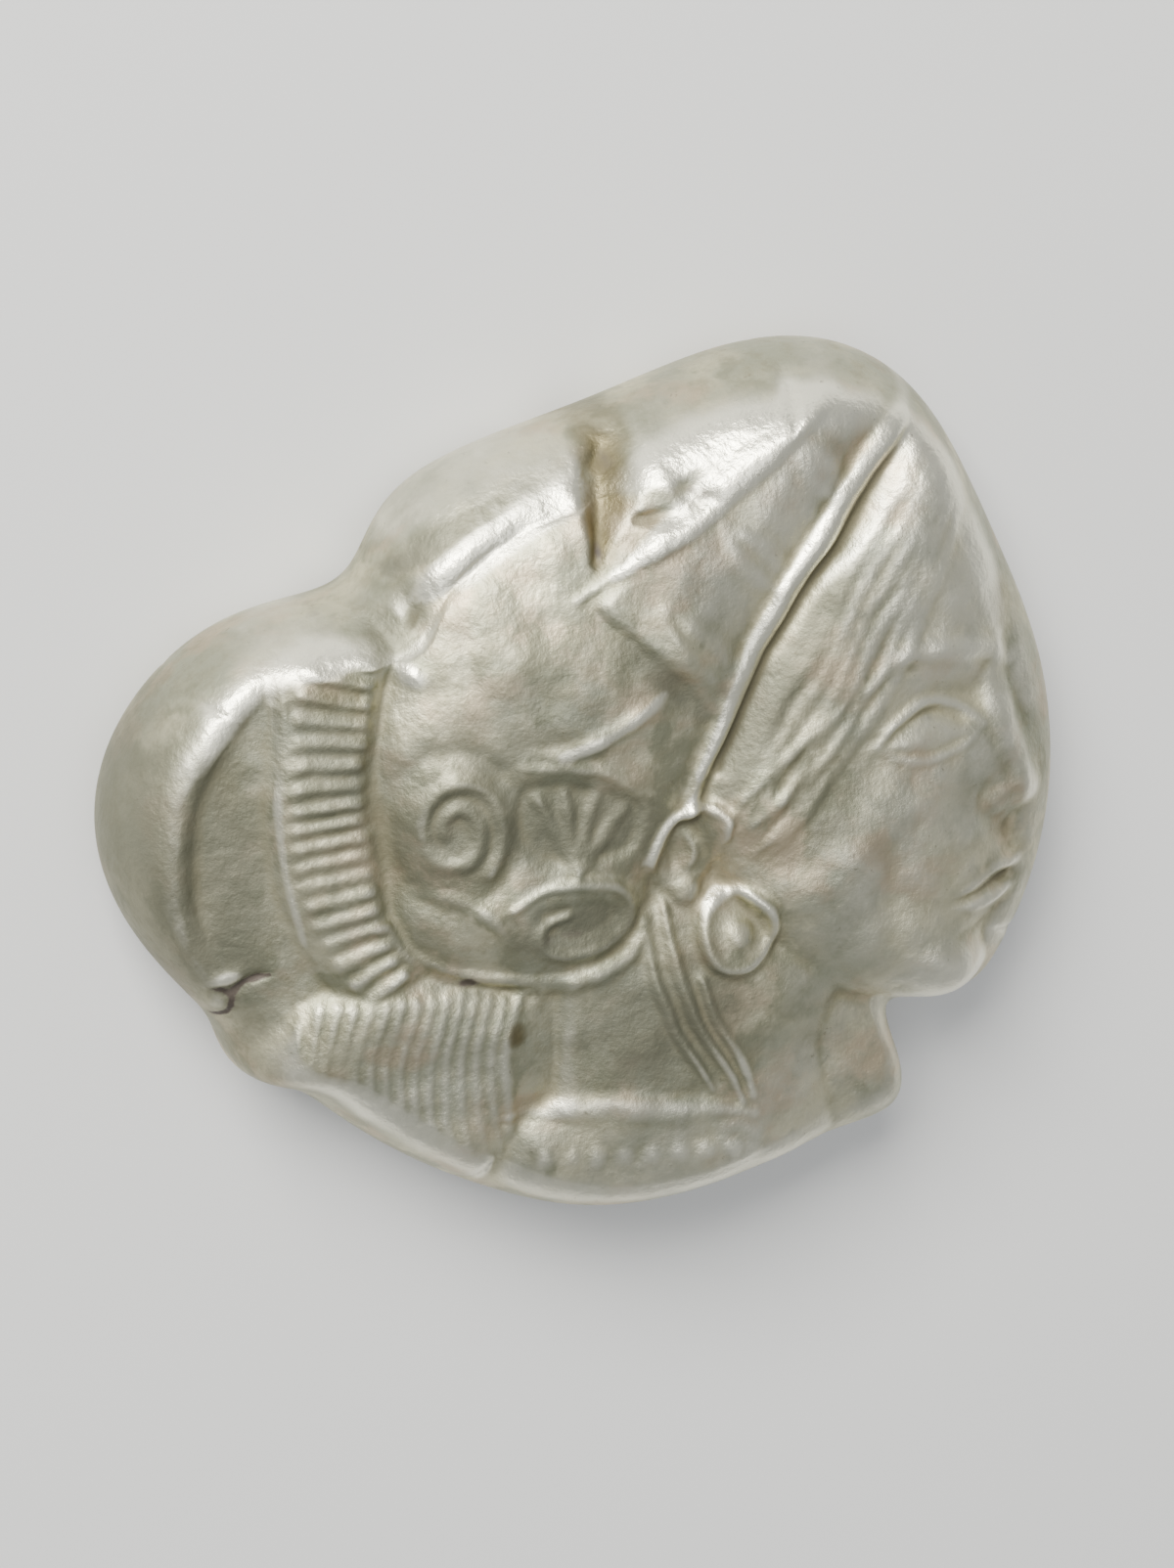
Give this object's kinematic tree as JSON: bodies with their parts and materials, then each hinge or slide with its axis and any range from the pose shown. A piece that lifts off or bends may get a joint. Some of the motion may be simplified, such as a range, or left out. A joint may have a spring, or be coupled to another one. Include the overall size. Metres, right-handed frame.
{
  "type": "tetradrachm coin",
  "caption": "Thick struck silver coin on a ragged round flan: helmeted head in high relief on the front, owl in a sunk square on the back.",
  "frame": {"origin": "middle of the bounding box's bottom, on the plane the coin lies on", "axes": "+Z out of the head side, +X toward the front of the head's face, +Y toward the top of the head"},
  "size_m": [0.0242, 0.0218, 0.0059],
  "materials": {
    "silver": "worn, toned silver"
  },
  "bodies": {
    "root": {"coin": "silver"}
  },
  "joints": []
}
